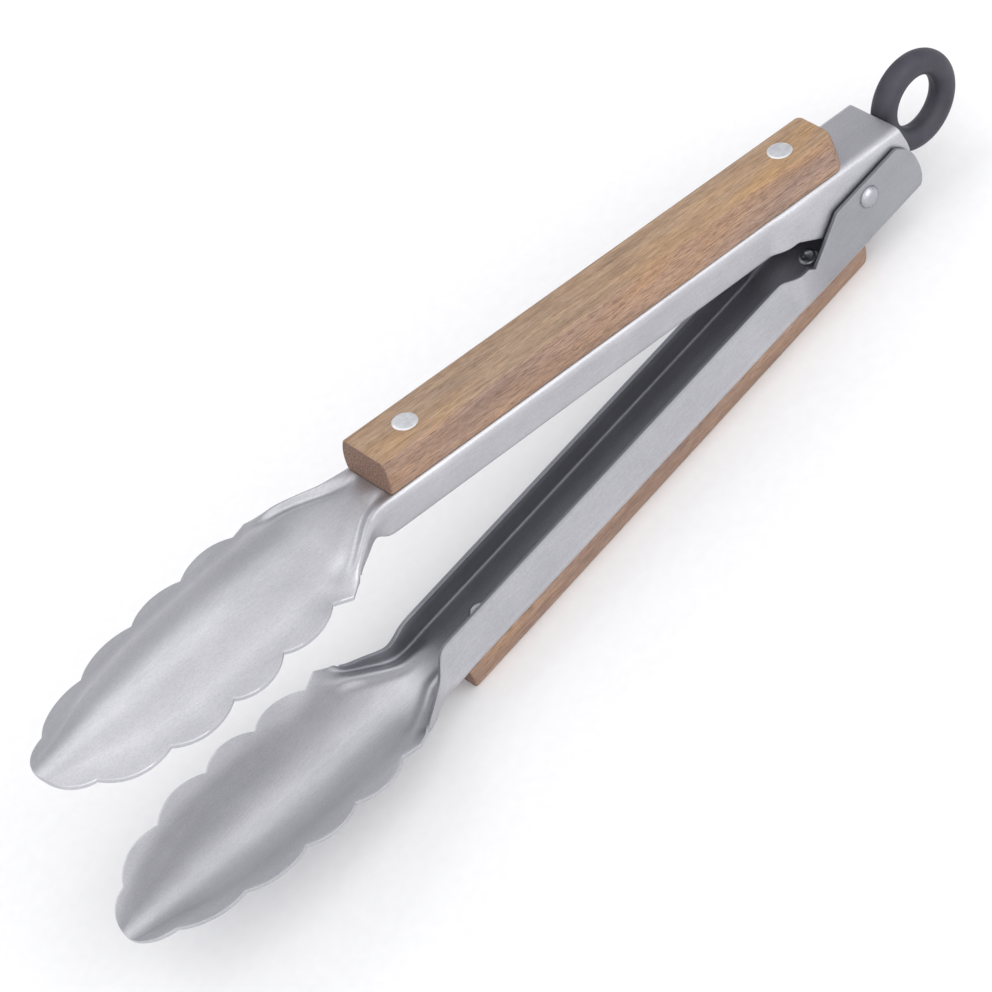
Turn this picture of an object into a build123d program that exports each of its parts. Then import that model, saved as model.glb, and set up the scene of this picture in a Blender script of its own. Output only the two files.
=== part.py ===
"""Spring loaded kitchen tongs, in millimetres.

+X runs from the scoops to the hinge, +Y is the pivot's axis and +Z is up. The lower arm lies along X
with its wooden grip's face on z = 0, and the upper arm stands open at its rest angle.
Each arm is drawn in its own plane: x along the arm towards the hinge with 0 at the pivot, y across,
and z the depth inwards from the outer face of the channel's floor, towards the other arm.
"""

from build123d import *
import math
import os

# Driving dimensions
OPEN_ANGLE = 14.6  # between the two floors at rest
SHEET = 0.9  # stainless sheet
PIVOT_DEPTH_LOWER = 10.5  # pivot axis above the lower arm's outer floor
PIVOT_DEPTH_UPPER = 8.9  # the same for the upper arm
TIP = 204.4  # pivot to scoop tip

UPPER_CHANNEL_HALF = 7.4  # outer half width of the upper arm's channel at its floor
WALL_HEIGHT = 8.9
WALL_EDGE_HALF = 6.0  # half width at the walls' free edges, which lean in
BEND = 2.2  # how far a bend starts from the folded corner
CHANNEL_END = 122.9  # where the channel starts to open into the neck
HINGE_BOX = 20.0  # upright hinge walls run from here to the tail
JOGGLE = 25.0  # leaning walls change to upright ones between here and HINGE_BOX

EAR_HALF = 8.7  # outer half width of the lower arm's ears and of its channel at the floor
EAR_REAR = 13.4
EAR_TALL = 14.2  # ear top above the lower arm's outer floor
UPPER_HALF = 7.5  # outer half width of the upper arm between the ears
UPPER_WALL_TALL = 17.0
UPPER_TAIL = 11.4  # the upper arm's floor ends this far behind the pivot
UPPER_WALL_REAR = 13.2

GRIP_FRONT = 122.2
GRIP_REAR = 3.4
GRIP_THICK = 7.3
# Grip sections: (half width on the steel, half width of the back, bow of the sides)
GRIP_FRONT_SECTION = (6.4, 5.7, 0.7)
GRIP_REAR_SECTION = (6.9, 4.95, 0.5)
GRIP_PLANED = 0.5  # planed off the back of the sawn bar
GRIP_NEAR_R = 2.4  # rear corner in plan on the -Y side
GRIP_FAR_R = 1.0  # and on the +Y side
GRIP_GAP = 0.03  # keeps the wood just clear of the steel
RIVET_STATIONS = {"front": 111.6, "rear": 13.4}
RIVET_R = 1.5
RIVET_HEAD_R = 2.6
RIVET_HEAD_THICK = 0.9
RIVET_PROUD = 0.15
RIVET_CLINCH_R = 2.1
RIVET_CLINCH_THICK = 0.8
RIVET_DIMPLE_R = 0.8
HOLE_GAP = 0.05

PIVOT_R = 1.7
PIVOT_HEAD_R = 2.4
PIVOT_HEAD_THICK = 1.3
SLEEVE_R = 2.5
BEARING_GAP = 0.05
SIDE_GAP = 0.05

WIRE_R = 0.55
COIL_R = 3.3  # centreline
WHOLE_TURNS = 3
COIL_PITCH = 1.16
COIL_START_Y = 1.5
LOWER_LEG_REACH = 14.0
UPPER_LEG_REACH = 10.0

LOCK_TRAVEL = 5.5
LOCK_THICK = 1.5
LOCK_HALF_HEIGHT = 4.0
LOCK_FRONT = 10.0
LOCK_REAR = 12.0
LOCK_PIN_R = 0.6
LOCK_PIN_X = 6.2
LOCK_PIN_GAP = 0.15
CLOSED_ANGLE = 2.2  # between the floors when the scoops meet

RING_X = 23.2  # ring centre behind the pivot
RING_R = 8.26
RING_TUBE_R = 2.67
RING_LAND = 1.2  # width of the cylindrical land inside the ring
SHANK_FRONT = 8.4
SHANK_HALF_WIDE = 2.4
SHANK_HALF_TALL = 3.0
RING_PIN_X = 10.3
RING_PIN_R = 0.75

# The whole part is centred on x = 0
PIVOT_X = (TIP - RING_X - RING_R - RING_TUBE_R) / 2
PIVOT_Z = GRIP_THICK + PIVOT_DEPTH_LOWER


def arm_plane(angle, pivot_depth, inward):
    """Plane of an arm whose scoop end is raised by angle; inward is +1 for the lower arm, -1 for the upper."""
    turn = math.radians(angle)
    along = Vector(math.cos(turn), 0, -math.sin(turn))
    depth = Vector(math.sin(turn), 0, math.cos(turn)) * inward
    return Plane(origin=Vector(PIVOT_X, 0, PIVOT_Z) - depth * pivot_depth, x_dir=along, z_dir=depth)


LOWER = arm_plane(0, PIVOT_DEPTH_LOWER, 1)
UPPER = arm_plane(OPEN_ANGLE, PIVOT_DEPTH_UPPER, -1)


def across(arm, station):
    """Plane across an arm, station mm from the pivot towards the scoop: sketch x is width, sketch y is depth."""
    return Plane(origin=arm.from_local_coords((-station, 0, 0)), x_dir=arm.y_dir, z_dir=arm.x_dir)


def side(arm):
    """Plane along an arm: sketch x points to the hinge, sketch y is depth."""
    return Plane(origin=arm.origin, x_dir=arm.x_dir, z_dir=-arm.y_dir)


def floor_at(arm, station, depth):
    """Plane parallel to an arm's floor, facing inwards, centred station mm from the pivot."""
    return Plane(origin=arm.from_local_coords((-station, 0, depth)), x_dir=arm.x_dir, z_dir=arm.z_dir)


# Cross-sections of an arm: (centre depth, (fold half width, fold depth), (edge half width, edge depth))
NECK = {
    125.0: (0.0, (7.5, 0.1), (6.2, 8.4)),
    127.0: (0.0, (7.9, 0.3), (7.2, 6.2)),
    129.0: (0.05, (8.6, 0.7), (8.2, 4.7)),
    133.0: (0.2, (10.9, 1.9), (10.8, 4.8)),
    137.2: (0.5, (13.3, 3.5), (13.5, 5.1)),
}
# Scoop: (centre depth, rim half width, rim depth), where the rim is the line of the notches
SCOOP = {
    141.3: (0.9, 16.0, 5.5),
    146.0: (1.4, 14.7, 5.2),
    158.0: (2.9, 15.1, 7.0),
    170.0: (4.7, 15.1, 9.0),
    184.0: (7.0, 13.4, 10.9),
    197.0: (9.5, 8.6, 11.9),
    TIP + 1: (10.9, 6.0, 12.2),
}
DEPTH_RANGE = 80.0  # taller than any arm, for cuts right through
SCOOP_MARGIN = 3.6  # how far the blank runs past the rim before the outline is cut
LIP = 2.0  # the scoop flattens this far inside its rim
LIP_SLOPE = 0.8  # slope of the lip, as a share of the bowl's mean slope


FLAT = 1e-6  # a floor dished by less than this is drawn flat


def scoop_section(centre, half, depth):
    """Section of the scoop: a bowl with a flatter lip, which is carried on past the rim."""
    slope = LIP_SLOPE * (depth - centre) / half
    return centre, (half - LIP, depth - slope * LIP), (half + SCOOP_MARGIN, depth + slope * SCOOP_MARGIN)


def face_lines(centre, fold, edge, reach):
    """Draws one face of a section: flat or dished floor, two bends that start reach from the fold, two walls."""
    floor_end = fold.X - reach
    rise = (fold.Y - centre) * (floor_end / fold.X) ** 2
    bend_top = fold + (edge - fold).normalized() * reach
    if rise > FLAT:
        Bezier((-floor_end, centre + rise), (0, centre - rise), (floor_end, centre + rise))
    else:
        Line((-floor_end, centre), (floor_end, centre))
    for sign in (1, -1):
        Bezier((sign * floor_end, centre + rise), (sign * fold.X, fold.Y), (sign * bend_top.X, bend_top.Y))
        Line((sign * bend_top.X, bend_top.Y), (sign * edge.X, edge.Y))


def section_lines(centre, fold_point, edge_point):
    """Draws a section's outline: its outer face, its inner face one sheet away, and the two free edges."""
    fold = Vector(*fold_point)
    edge = Vector(*edge_point)
    floor_way = Vector(fold.X, 2 * (fold.Y - centre)).normalized()
    wall_way = (edge - fold).normalized()
    floor_normal = Vector(-floor_way.Y, floor_way.X)
    wall_normal = Vector(-wall_way.Y, wall_way.X)
    turn = math.atan2(wall_way.Y, wall_way.X) - math.atan2(floor_way.Y, floor_way.X)
    reach = min(BEND, (edge - fold).length / 2)
    inner_fold = fold + (floor_normal + wall_normal) * (SHEET / (1 + floor_normal.dot(wall_normal)))
    inner_edge = edge + wall_normal * SHEET
    face_lines(centre, fold, edge, reach)
    face_lines(centre + SHEET, inner_fold, inner_edge, reach - SHEET * math.tan(turn / 2))
    for sign in (1, -1):
        Line((sign * edge.X, edge.Y), (sign * inner_edge.X, inner_edge.Y))


# Notches of the scoop's rim: (distance from the pivot, half width)
NOTCHES = [(145.1, 14.5), (157.9, 15.1), (170.3, 15.1), (184.2, 13.4), (197.6, 8.3)]
FLARE = (141.3, 16.0)
LOBE_RISE = 2.3
NECK_OUTLINE = [(100.0, 9.5), (128.5, 9.5), (133.0, 11.2), (137.2, 13.6)]


def lobe_top(start, end, rise):
    """Middle point of a lobe between two notches."""
    chord = Vector(*end) - Vector(*start)
    outward = Vector(-chord.Y, chord.X).normalized()
    return (Vector(*start) + Vector(*end)) * 0.5 + outward * rise


def scoop_outline():
    """Plan outline of neck and scoop, in the arm's x and y."""
    for sign in (1, -1):
        rim = NECK_OUTLINE + [FLARE, NOTCHES[0]]
        Polyline([(-s, sign * y) for s, y in rim])
        for start, end in zip(NOTCHES, NOTCHES[1:]):
            top = lobe_top(start, end, LOBE_RISE)
            ThreePointArc((-start[0], sign * start[1]), (-top.X, sign * top.Y), (-end[0], sign * end[1]))
    tip_s, tip_y = NOTCHES[-1]
    ThreePointArc((-tip_s, tip_y), (-TIP, 0), (-tip_s, -tip_y))
    mouth_s, mouth_y = NECK_OUTLINE[0]
    Line((-mouth_s, mouth_y), (-mouth_s, -mouth_y))


# Wall edges in side view, as (x towards the hinge, depth). Everything deeper than the line is cut away.
LOWER_WALL_LINE = [
    (-JOGGLE - 2, WALL_HEIGHT + 0.4),
    (-JOGGLE, WALL_HEIGHT - 0.05),
    (-19.0, WALL_HEIGHT - 0.2),
    (-17.6, 7.3),
    (-8.1, EAR_TALL - 0.1),
    (-7.2, EAR_TALL),
    (10.0, EAR_TALL),
    (12.3, 11.6),
    (13.2, 8.9),
    (EAR_REAR, 6.0),
    (EAR_REAR - 0.4, 3.0),
    (EAR_REAR - 1.6, 0.8),
    (EAR_REAR - 2.0, -1.0),
]
UPPER_WALL_LINE = [
    (-JOGGLE - 2, WALL_HEIGHT + 0.4),
    (-JOGGLE, WALL_HEIGHT - 0.05),
    (-18.4, WALL_HEIGHT),
    (-11.4, 12.2),
    (-7.0, 15.2),
    (-3.0, 16.3),
    (7.6, 16.3),
    (8.9, 15.8),
    (11.0, 11.5),
    (UPPER_WALL_REAR, 8.0),
    (UPPER_WALL_REAR, 6.2),
    (UPPER_WALL_REAR - 0.5, 4.0),
    (UPPER_TAIL + 0.3, 1.2),
    (UPPER_TAIL, -1.0),
]


def formed_arm(arm, channel_half, half, wall, rear, wall_line, pivot_depth, pivot_hole_r):
    """A pressed arm: scoop, neck, channel, and a hinge end with upright walls half wide outside."""
    hinge_box = (0.0, (half, 0.0), (half, wall))
    channel = (0.0, (channel_half, 0.0), (WALL_EDGE_HALF, WALL_HEIGHT))
    sections = {-rear: hinge_box, HINGE_BOX: hinge_box, JOGGLE: channel, CHANNEL_END: channel}
    for station, (centre, fold, edge) in NECK.items():
        sections[station] = (centre, (max(fold[0], channel_half), fold[1]), edge)
    for station, values in SCOOP.items():
        sections[station] = scoop_section(*values)
    with BuildPart() as formed:
        for station, section in sections.items():
            with BuildSketch(across(arm, station)):
                with BuildLine():
                    section_lines(*section)
                make_face()
        loft(ruled=True)

        # Outline of the neck and the lobed scoop
        mouth = NECK_OUTLINE[0][0]
        with BuildSketch(floor_at(arm, 0, -DEPTH_RANGE / 2)):
            with BuildLine():
                scoop_outline()
            make_face()
            with Locations(((rear + 1 - mouth) / 2, 0)):
                Rectangle(mouth + rear + 1, 4 * half)
        extrude(amount=DEPTH_RANGE, mode=Mode.INTERSECT)

        # Side view of the hinge end: everything deeper than its wall line goes
        corners = [(wall_line[0][0], DEPTH_RANGE), (JOGGLE, DEPTH_RANGE), (JOGGLE, wall_line[-1][1])]
        with BuildSketch(side(arm)):
            with BuildLine():
                Polyline(*corners, *reversed(wall_line), close=True)
            make_face()
        extrude(amount=2 * half, both=True, mode=Mode.SUBTRACT)

        # Holes for the grip's rivets and for the pivot
        for station in RIVET_STATIONS.values():
            with BuildSketch(floor_at(arm, station, -1)):
                Circle(RIVET_R + HOLE_GAP)
            extrude(amount=SHEET + 2, mode=Mode.SUBTRACT)
        with BuildSketch(side(arm)):
            with Locations((0, pivot_depth)):
                Circle(pivot_hole_r)
        extrude(amount=2 * half, both=True, mode=Mode.SUBTRACT)
    return formed.part


lower_pressing = formed_arm(
    LOWER, EAR_HALF, EAR_HALF, EAR_TALL, EAR_REAR, LOWER_WALL_LINE, PIVOT_DEPTH_LOWER, PIVOT_R + HOLE_GAP
)
with BuildPart() as lower_arm:
    add(lower_pressing)
lower_arm.part.label = "lower_arm"

upper_pressing = formed_arm(
    UPPER,
    UPPER_CHANNEL_HALF,
    UPPER_HALF,
    UPPER_WALL_TALL,
    UPPER_WALL_REAR,
    UPPER_WALL_LINE,
    PIVOT_DEPTH_UPPER,
    SLEEVE_R + BEARING_GAP,
)
with BuildPart() as upper_arm:
    add(upper_pressing)
    # Window that the lock pin rides in: open near the pivot, with a slot for each end of the arm's swing
    pin_half = LOCK_PIN_R + LOCK_PIN_GAP
    with BuildSketch(side(UPPER)):
        for angle in (CLOSED_ANGLE, OPEN_ANGLE):
            turn = math.radians(angle)
            for reach in (LOCK_PIN_X, LOCK_PIN_X + LOCK_TRAVEL):
                with Locations((reach * math.cos(turn), PIVOT_DEPTH_UPPER - reach * math.sin(turn))):
                    Circle(pin_half)
            middle = LOCK_PIN_X + LOCK_TRAVEL / 2
            with Locations((middle * math.cos(turn), PIVOT_DEPTH_UPPER - middle * math.sin(turn))):
                Rectangle(LOCK_TRAVEL, 2 * pin_half, rotation=-angle)
        half_swing = math.radians((OPEN_ANGLE - CLOSED_ANGLE) / 2)
        middle_turn = math.radians(CLOSED_ANGLE) + half_swing
        with Locations((LOCK_PIN_X * math.cos(middle_turn), PIVOT_DEPTH_UPPER - LOCK_PIN_X * math.sin(middle_turn))):
            Rectangle(2 * pin_half, 2 * LOCK_PIN_X * math.sin(half_swing))
    extrude(amount=2 * EAR_HALF, both=True, mode=Mode.SUBTRACT)
upper_arm.part.label = "upper_arm"


def grip(arm):
    """Wooden bar on the back of an arm: bowed sides, rounded rear, holes and sunk seats for two rivets."""
    base = -GRIP_GAP
    top = -GRIP_THICK
    with BuildPart() as bar:
        for station, (half, top_half, bow) in ((GRIP_FRONT, GRIP_FRONT_SECTION), (GRIP_REAR, GRIP_REAR_SECTION)):
            middle_half = (half + top_half) / 2 + bow
            with BuildSketch(across(arm, station)):
                with BuildLine():
                    Line((-half, base), (half, base))
                    for sign in (1, -1):
                        middle = (sign * middle_half, (base + top) / 2)
                        ThreePointArc((sign * half, base), middle, (sign * top_half, top))
                        Line((sign * top_half, top), (sign * top_half, top - GRIP_PLANED))
                    Line((top_half, top - GRIP_PLANED), (-top_half, top - GRIP_PLANED))
                make_face()
        loft(ruled=True)
        # The back is planed flat
        with BuildSketch(floor_at(arm, (GRIP_FRONT + GRIP_REAR) / 2, top - 2 * GRIP_PLANED)):
            Rectangle(GRIP_FRONT, 4 * EAR_HALF)
        extrude(amount=2 * GRIP_PLANED, mode=Mode.SUBTRACT)
        rear = bar.faces().sort_by(Axis(arm.origin, arm.x_dir))[-1]
        corners = rear.edges().sort_by(Edge.length)[:2].sort_by(Axis.Y)
        for corner, radius in zip(corners, (GRIP_NEAR_R, GRIP_FAR_R)):
            fillet(corner, radius)
        for station in RIVET_STATIONS.values():
            with BuildSketch(floor_at(arm, station, -GRIP_THICK - 1)):
                Circle(RIVET_R + HOLE_GAP)
            extrude(amount=GRIP_THICK + 2, mode=Mode.SUBTRACT)
            with BuildSketch(floor_at(arm, station, -GRIP_THICK - 1)):
                Circle(RIVET_HEAD_R + HOLE_GAP)
            extrude(amount=1 + RIVET_HEAD_THICK, mode=Mode.SUBTRACT)
    return bar


lower_grip = grip(LOWER)
lower_grip.part.label = "lower_grip"
upper_grip = grip(UPPER)
upper_grip.part.label = "upper_grip"


def grip_rivet(arm, station, proud):
    """Semi-tubular rivet: flat head in the wood, shank through wood and steel, rolled end inside the channel."""
    head_top = -GRIP_THICK - proud
    clinch = SHEET + GRIP_GAP
    with BuildPart() as rivet:
        with BuildSketch(floor_at(arm, station, head_top)):
            Circle(RIVET_HEAD_R)
        extrude(amount=RIVET_HEAD_THICK)
        with BuildSketch(floor_at(arm, station, head_top)):
            Circle(RIVET_R)
        extrude(amount=clinch - head_top + RIVET_CLINCH_THICK / 2)
        with BuildSketch(floor_at(arm, station, clinch)):
            Circle(RIVET_CLINCH_R)
        extrude(amount=RIVET_CLINCH_THICK)
        with BuildSketch(floor_at(arm, station, clinch + RIVET_CLINCH_THICK / 2)):
            Circle(RIVET_DIMPLE_R)
        extrude(amount=RIVET_CLINCH_THICK, mode=Mode.SUBTRACT)
    return rivet


with BuildPart() as pivot_rivet:
    with BuildSketch(Plane(origin=(PIVOT_X, 0, PIVOT_Z), x_dir=(1, 0, 0), z_dir=(0, -1, 0))):
        Circle(PIVOT_R)
    extrude(amount=EAR_HALF + PIVOT_HEAD_THICK / 2, both=True)
    for facing in (-1, 1):
        head_plane = Plane(origin=(PIVOT_X, facing * (EAR_HALF + HOLE_GAP), PIVOT_Z), z_dir=(0, facing, 0))
        with BuildSketch(head_plane):
            Circle(PIVOT_HEAD_R)
        domed = extrude(amount=PIVOT_HEAD_THICK)
        outer_edge = domed.edges().sort_by(Axis((0, 0, 0), (0, facing, 0)))[-1]
        fillet(outer_edge, PIVOT_HEAD_THICK * 0.9)
pivot_rivet.part.label = "pivot_rivet"

SLEEVE_HALF = EAR_HALF - SHEET - SIDE_GAP
with BuildPart() as pivot_sleeve:
    with BuildSketch(Plane(origin=(PIVOT_X, 0, PIVOT_Z), x_dir=(1, 0, 0), z_dir=(0, -1, 0))):
        Circle(SLEEVE_R)
        Circle(PIVOT_R + HOLE_GAP, mode=Mode.SUBTRACT)
    extrude(amount=SLEEVE_HALF, both=True)
pivot_sleeve.part.label = "pivot_sleeve"

# Torsion spring on the far side of the lock plate. Each leg leaves the coil along a tangent and presses on
# a floor, towards the scoops. Leg ends are (x, z) from the pivot.
LEG_CLEAR = WIRE_R + SIDE_GAP
lower_leg_end = (-LOWER_LEG_REACH, SHEET + LEG_CLEAR - PIVOT_DEPTH_LOWER)
upper_leg_height = PIVOT_DEPTH_UPPER - SHEET - LEG_CLEAR
open_turn = math.radians(OPEN_ANGLE)
upper_leg_end = (
    upper_leg_height * math.sin(open_turn) - UPPER_LEG_REACH * math.cos(open_turn),
    upper_leg_height * math.cos(open_turn) + UPPER_LEG_REACH * math.sin(open_turn),
)


def tangent_angle(end, turn_side):
    """Angle round the coil, in degrees from +X towards +Z, where a tangent to the point end leaves it."""
    return math.degrees(math.atan2(end[1], end[0]) + turn_side * math.acos(COIL_R / math.hypot(*end)))


lower_leg_angle = tangent_angle(lower_leg_end, 1)
upper_leg_angle = tangent_angle(upper_leg_end, -1)
coil_turns = WHOLE_TURNS + ((upper_leg_angle - lower_leg_angle) % 360) / 360
helix_start_angle = -90  # where a helix about -Y starts
coil_end_y = COIL_START_Y + coil_turns * COIL_PITCH

with BuildPart() as torsion_spring:
    with BuildLine() as coil_line:
        Helix(COIL_PITCH, coil_turns * COIL_PITCH, COIL_R, center=(PIVOT_X, coil_end_y, PIVOT_Z), direction=(0, -1, 0))
    pivot_axis = Axis((PIVOT_X, 0, PIVOT_Z), (0, 1, 0))
    coil = coil_line.edges()[0].rotate(pivot_axis, helix_start_angle - lower_leg_angle)
    with BuildSketch(Plane(origin=coil @ 0, z_dir=coil % 0)):
        Circle(WIRE_R)
    sweep(path=coil, is_frenet=True)
    for start, end, y in ((coil @ 0, lower_leg_end, coil_end_y), (coil @ 1, upper_leg_end, COIL_START_Y)):
        leg = Vector(PIVOT_X + end[0], y, PIVOT_Z + end[1]) - start
        with BuildSketch(Plane(origin=start, z_dir=leg)):
            Circle(WIRE_R)
        extrude(amount=leg.length)
torsion_spring.part.label = "torsion_spring"

with BuildPart() as lock_plate:
    with BuildSketch(Plane(origin=(PIVOT_X, 0, PIVOT_Z), x_dir=(1, 0, 0), z_dir=(0, -1, 0))):
        with Locations(((LOCK_REAR - LOCK_FRONT) / 2, 0)):
            RectangleRounded(LOCK_REAR + LOCK_FRONT, 2 * LOCK_HALF_HEIGHT, 1.5)
        with Locations((-LOCK_TRAVEL / 2, 0)):
            SlotCenterToCenter(LOCK_TRAVEL, 2 * (SLEEVE_R + HOLE_GAP), mode=Mode.SUBTRACT)
        with Locations((LOCK_PIN_X, 0)):
            Circle(LOCK_PIN_R + HOLE_GAP, mode=Mode.SUBTRACT)
        with Locations((RING_PIN_X, 0)):
            Circle(RING_PIN_R + HOLE_GAP, mode=Mode.SUBTRACT)
    extrude(amount=LOCK_THICK / 2, both=True)
lock_plate.part.label = "lock_plate"

with BuildPart() as lock_pin:
    with BuildSketch(Plane(origin=(PIVOT_X + LOCK_PIN_X, 0, PIVOT_Z), x_dir=(1, 0, 0), z_dir=(0, -1, 0))):
        Circle(LOCK_PIN_R)
    extrude(amount=SLEEVE_HALF - 0.1, both=True)
lock_pin.part.label = "lock_pin"

with BuildPart() as ring_pin:
    with BuildSketch(Plane(origin=(PIVOT_X + RING_PIN_X, 0, PIVOT_Z), x_dir=(1, 0, 0), z_dir=(0, -1, 0))):
        Circle(RING_PIN_R)
    extrude(amount=SHANK_HALF_WIDE, both=True)
ring_pin.part.label = "ring_pin"

RING_HOLE_R = RING_R - math.sqrt(RING_TUBE_R**2 - (RING_LAND / 2) ** 2)
with BuildPart() as pull_ring:
    ring_middle = Plane(origin=(PIVOT_X + RING_X, 0, PIVOT_Z), x_dir=(1, 0, 0), z_dir=(0, -1, 0))
    with BuildSketch(Plane(origin=(PIVOT_X + RING_X, 0, PIVOT_Z), x_dir=(1, 0, 0), z_dir=(0, 0, 1))):
        with Locations((RING_R, 0)):
            Circle(RING_TUBE_R)
    revolve(axis=Axis((PIVOT_X + RING_X, 0, PIVOT_Z), (0, 1, 0)))
    shank_length = RING_X - RING_R - SHANK_FRONT
    with BuildSketch(Plane(origin=(PIVOT_X + SHANK_FRONT, 0, PIVOT_Z), x_dir=(0, 1, 0), z_dir=(1, 0, 0))):
        RectangleRounded(2 * SHANK_HALF_WIDE, 2 * SHANK_HALF_TALL, 0.8)
    extrude(amount=shank_length)
    with BuildSketch(ring_middle):
        Circle(RING_HOLE_R)
    extrude(amount=RING_LAND / 2, both=True, mode=Mode.SUBTRACT)
    slit_length = LOCK_REAR + HOLE_GAP - SHANK_FRONT
    with BuildSketch(Plane(origin=(PIVOT_X + SHANK_FRONT, 0, PIVOT_Z), x_dir=(0, 1, 0), z_dir=(1, 0, 0))):
        Rectangle(LOCK_THICK + 2 * HOLE_GAP, 4 * LOCK_HALF_HEIGHT)
    extrude(amount=slit_length, mode=Mode.SUBTRACT)
    with BuildSketch(Plane(origin=(PIVOT_X + RING_PIN_X, 0, PIVOT_Z), x_dir=(1, 0, 0), z_dir=(0, -1, 0))):
        Circle(RING_PIN_R + HOLE_GAP)
    extrude(amount=2 * SHANK_HALF_WIDE, both=True, mode=Mode.SUBTRACT)
pull_ring.part.label = "pull_ring"

pieces = [lower_arm, upper_arm, lower_grip, upper_grip, pivot_rivet, pivot_sleeve, torsion_spring]
pieces += [lock_plate, lock_pin, ring_pin, pull_ring]

# The lower grip's rivet heads are flush, so that the wood itself rests on the table
for arm_name, arm, proud in (("lower", LOWER, 0.0), ("upper", UPPER, RIVET_PROUD)):
    for place, station in RIVET_STATIONS.items():
        rivet = grip_rivet(arm, station, proud)
        rivet.part.label = f"{arm_name}_grip_rivet_{place}"
        pieces.append(rivet)

os.makedirs("parts", exist_ok=True)
for piece in pieces:
    export_step(piece.part, f"parts/{piece.part.label}.step")
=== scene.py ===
"""Spring loaded kitchen tongs: the looks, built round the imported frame.

Dimensions and tables are in millimetres, and make_object turns them into metres. Materials, floor
and lights are in metres, and so is the camera's distance.
"""

import math

import bpy
import numpy as np
from mathutils import Matrix, Vector


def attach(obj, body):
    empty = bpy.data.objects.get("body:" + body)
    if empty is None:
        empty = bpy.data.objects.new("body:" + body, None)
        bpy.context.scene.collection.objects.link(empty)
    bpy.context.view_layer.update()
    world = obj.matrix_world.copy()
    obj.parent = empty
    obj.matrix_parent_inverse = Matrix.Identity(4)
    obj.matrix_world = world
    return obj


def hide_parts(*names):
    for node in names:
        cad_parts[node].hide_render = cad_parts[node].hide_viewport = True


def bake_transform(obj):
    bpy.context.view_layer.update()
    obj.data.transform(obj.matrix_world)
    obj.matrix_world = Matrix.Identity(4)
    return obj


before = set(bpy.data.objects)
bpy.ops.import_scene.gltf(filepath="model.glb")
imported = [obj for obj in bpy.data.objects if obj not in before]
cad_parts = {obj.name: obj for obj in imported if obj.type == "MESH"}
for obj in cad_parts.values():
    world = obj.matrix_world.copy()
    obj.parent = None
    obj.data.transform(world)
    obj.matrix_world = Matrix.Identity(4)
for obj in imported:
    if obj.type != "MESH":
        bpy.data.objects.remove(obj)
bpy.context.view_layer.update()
MM = 0.001

# ---------------------------------------------------------------- dimensions, the same as the CAD's
OPEN_ANGLE = 14.6
SHEET = 0.9
PIVOT_DEPTH_LOWER = 10.5
PIVOT_DEPTH_UPPER = 8.9
TIP = 204.4
BEND = 2.2
UPPER_CHANNEL_HALF = 7.4
WALL_HEIGHT = 8.9
WALL_EDGE_HALF = 6.0
HINGE_BOX = 20.0
JOGGLE = 25.0
EAR_HALF = 8.7
UPPER_HALF = 7.5
LOWER_WALL = 14.2
UPPER_WALL = 17.0
LOWER_BODY_X = 6.0
UPPER_BODY_X = 4.0
GRIP_FRONT = 122.2
GRIP_REAR = 3.4
GRIP_THICK = 7.3
GRIP_FRONT_SECTION = (6.4, 5.7, 0.7)
GRIP_REAR_SECTION = (6.9, 4.95, 0.5)
GRIP_NEAR_R = 2.4
GRIP_FAR_R = 1.0
GRIP_GAP = 0.03
RIVET_STATIONS = {"front": 111.6, "rear": 13.4}
RIVET_HEAD_R = 2.6
PIVOT_R = 1.7
SLEEVE_R = 2.5
WIRE_R = 0.55
COIL_R = 3.3
COIL_PITCH = 1.16
COIL_START_Y = 1.5
WHOLE_TURNS = 3
LOWER_LEG_REACH = 14.0
UPPER_LEG_REACH = 10.0
LOCK_TRAVEL = 5.5
LOCK_PIN_X = 6.2
LOCK_WINDOW_HALF = 0.75
HOLE_CLEARANCE = 0.05
CLOSED_ANGLE = 2.2
RING_X = 23.2
RING_R = 8.26
RING_TUBE_R = 2.67
PIVOT_X = (TIP - RING_X - RING_R - RING_TUBE_R) / 2
PIVOT_Z = GRIP_THICK + PIVOT_DEPTH_LOWER

# Channel's end and neck: station from the pivot, centre depth, then half width and depth of the
# fold and of the edge
SECTIONS = np.array(
    [
        (100.0, 0.0, 7.4, 0.0, 6.0, 8.9),
        (112.0, 0.0, 7.4, 0.0, 6.0, 8.9),
        (122.9, 0.0, 7.4, 0.0, 6.0, 8.9),
        (125.0, 0.0, 7.5, 0.1, 6.2, 8.4),
        (127.0, 0.0, 7.9, 0.3, 7.2, 6.2),
        (129.0, 0.05, 8.6, 0.7, 8.2, 4.7),
        (133.0, 0.2, 10.9, 1.9, 10.8, 4.8),
        (137.2, 0.5, 13.3, 3.5, 13.5, 5.1),
    ]
)
# Scoop: station, centre depth, rim half width, rim depth
SCOOP = np.array(
    [
        (141.3, 0.9, 16.0, 5.5),
        (146.0, 1.4, 14.7, 5.2),
        (158.0, 2.9, 15.1, 7.0),
        (170.0, 4.7, 15.1, 9.0),
        (184.0, 7.0, 13.4, 10.9),
        (197.0, 9.5, 8.6, 11.9),
        (TIP + 1, 10.9, 6.0, 12.2),
    ]
)
SCOOP_MARGIN = 3.6
LIP = 2.0
LIP_SLOPE = 0.8
NOTCHES = [(145.1, 14.5), (157.9, 15.1), (170.3, 15.1), (184.2, 13.4), (197.6, 8.3)]
FLARE = (141.3, 16.0)
LOBE_RISE = 2.3
NECK_OUTLINE = [(128.5, 9.5), (133.0, 11.2), (137.2, 13.6)]
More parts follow.
